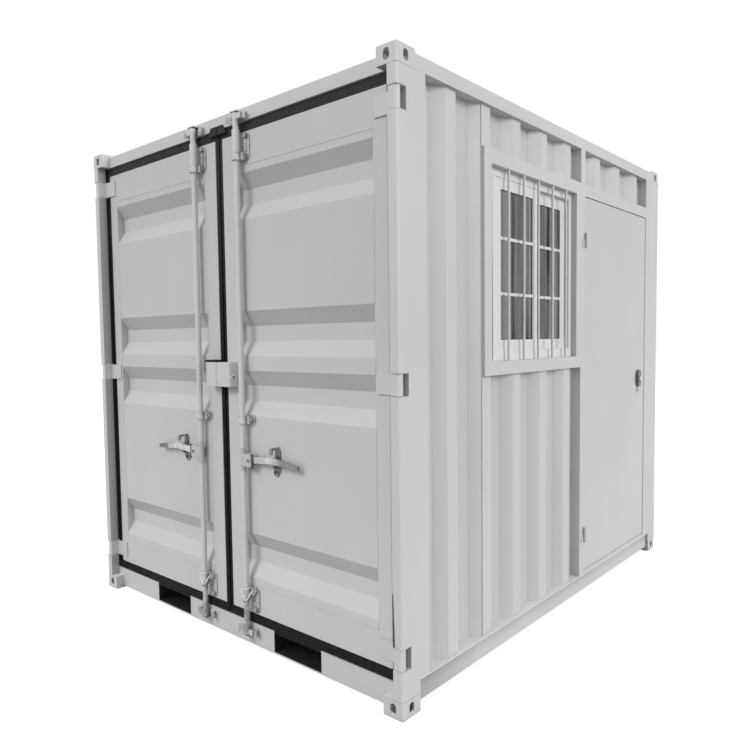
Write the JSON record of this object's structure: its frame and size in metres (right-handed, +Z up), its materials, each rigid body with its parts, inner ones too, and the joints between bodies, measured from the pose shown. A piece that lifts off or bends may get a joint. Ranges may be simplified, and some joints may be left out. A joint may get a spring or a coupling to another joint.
{
  "type": "container cabin",
  "caption": "Small steel container cabin with corrugated walls, double cargo doors at one end, a barred sliding window and a hinged side door.",
  "frame": {"origin": "on the ground, under the middle of the whole outer box, which includes the side door's knob: the steel box's own middle plane lies at x = -12 mm", "axes": "+Z up, +Y from the cargo doors towards the rear wall, +X towards the wall with the window and side door"},
  "size_m": [2.249, 2.743, 2.499],
  "materials": {
    "painted_steel": "satin",
    "rubber_seal": "matte",
    "galvanised": "satin",
    "window_white": "gloss",
    "window_glass": "gloss",
    "floor_timber": "matte",
    "guard_steel": "satin",
    "lock_metal": "satin"
  },
  "bodies": {
    "cabin": {"corner_castings": "painted_steel", "front_posts": "painted_steel", "front_header": "painted_steel", "front_sill": "painted_steel", "sill_boxes": "painted_steel", "rear_posts": "painted_steel", "rear_rails": "painted_steel", "top_side_rails": "painted_steel", "bottom_side_rails": "painted_steel", "floor_joists": "painted_steel", "tunnel_walls": "painted_steel", "tunnel_plates": "painted_steel", "floor_deck": "floor_timber", "left_wall": "painted_steel", "side_wall_front": "painted_steel", "side_wall_window_bay": "painted_steel", "side_wall_over_door": "painted_steel", "rear_wall": "painted_steel", "roof": "painted_steel", "window_surround": "painted_steel", "window_guard_bars": "guard_steel", "window_frame": "window_white", "window_sashes": "window_white", "window_glass": "window_glass", "side_door_frame": "painted_steel", "side_door_pins": "painted_steel", "cargo_hinge_mounts": "painted_steel", "rod_keepers": "galvanised"},
    "right_cargo_door": {"right_door_frame": "painted_steel", "right_door_panel": "painted_steel", "right_door_gasket": "rubber_seal", "right_door_hinges": "painted_steel", "right_rod_guides": "galvanised", "right_handle_catch": "galvanised", "right_lock_box": "painted_steel"},
    "left_cargo_door": {"left_door_frame": "painted_steel", "left_door_panel": "painted_steel", "left_door_gasket": "rubber_seal", "left_door_hinges": "painted_steel", "left_rod_guides": "galvanised", "left_handle_catch": "galvanised", "left_lock_box": "painted_steel"},
    "right_rod": {"right_lock_rod": "galvanised"},
    "left_rod": {"left_lock_rod": "galvanised"},
    "right_handle": {"right_door_handle": "galvanised"},
    "left_handle": {"left_door_handle": "galvanised"},
    "side_door": {"side_door_leaf": "painted_steel", "side_door_knuckles": "painted_steel", "side_door_lock": "lock_metal"}
  },
  "joints": [
    {"name": "right_cargo_door_swing", "type": "hinge", "parent": "cabin", "child": "right_cargo_door", "pos_m": [1.0825, -1.3535, 1.27], "axis": [0, 0, 1], "range_deg": [0, 265]},
    {"name": "left_cargo_door_swing", "type": "hinge", "parent": "cabin", "child": "left_cargo_door", "pos_m": [-1.1065, -1.3535, 1.27], "axis": [0, 0, -1], "range_deg": [0, 265]},
    {"name": "right_rod_turn", "type": "hinge", "parent": "right_cargo_door", "child": "right_rod", "pos_m": [0.153, -1.3495, 1.27], "axis": [0, 0, 1], "range_deg": [-100, 0]},
    {"name": "left_rod_turn", "type": "hinge", "parent": "left_cargo_door", "child": "left_rod", "pos_m": [-0.177, -1.3495, 1.27], "axis": [0, 0, -1], "range_deg": [-100, 0]},
    {"name": "right_handle_lift", "type": "hinge", "parent": "right_rod", "child": "right_handle", "pos_m": [0.205, -1.3495, 0.893], "axis": [0, -1, 0], "range_deg": [0, 10]},
    {"name": "left_handle_lift", "type": "hinge", "parent": "left_rod", "child": "left_handle", "pos_m": [-0.229, -1.3495, 0.893], "axis": [0, 1, 0], "range_deg": [0, 10]},
    {"name": "side_door_swing", "type": "hinge", "parent": "cabin", "child": "side_door", "pos_m": [1.1105, 0.233, 1.15], "axis": [0, 0, -1], "range_deg": [0, 110]}
  ]
}
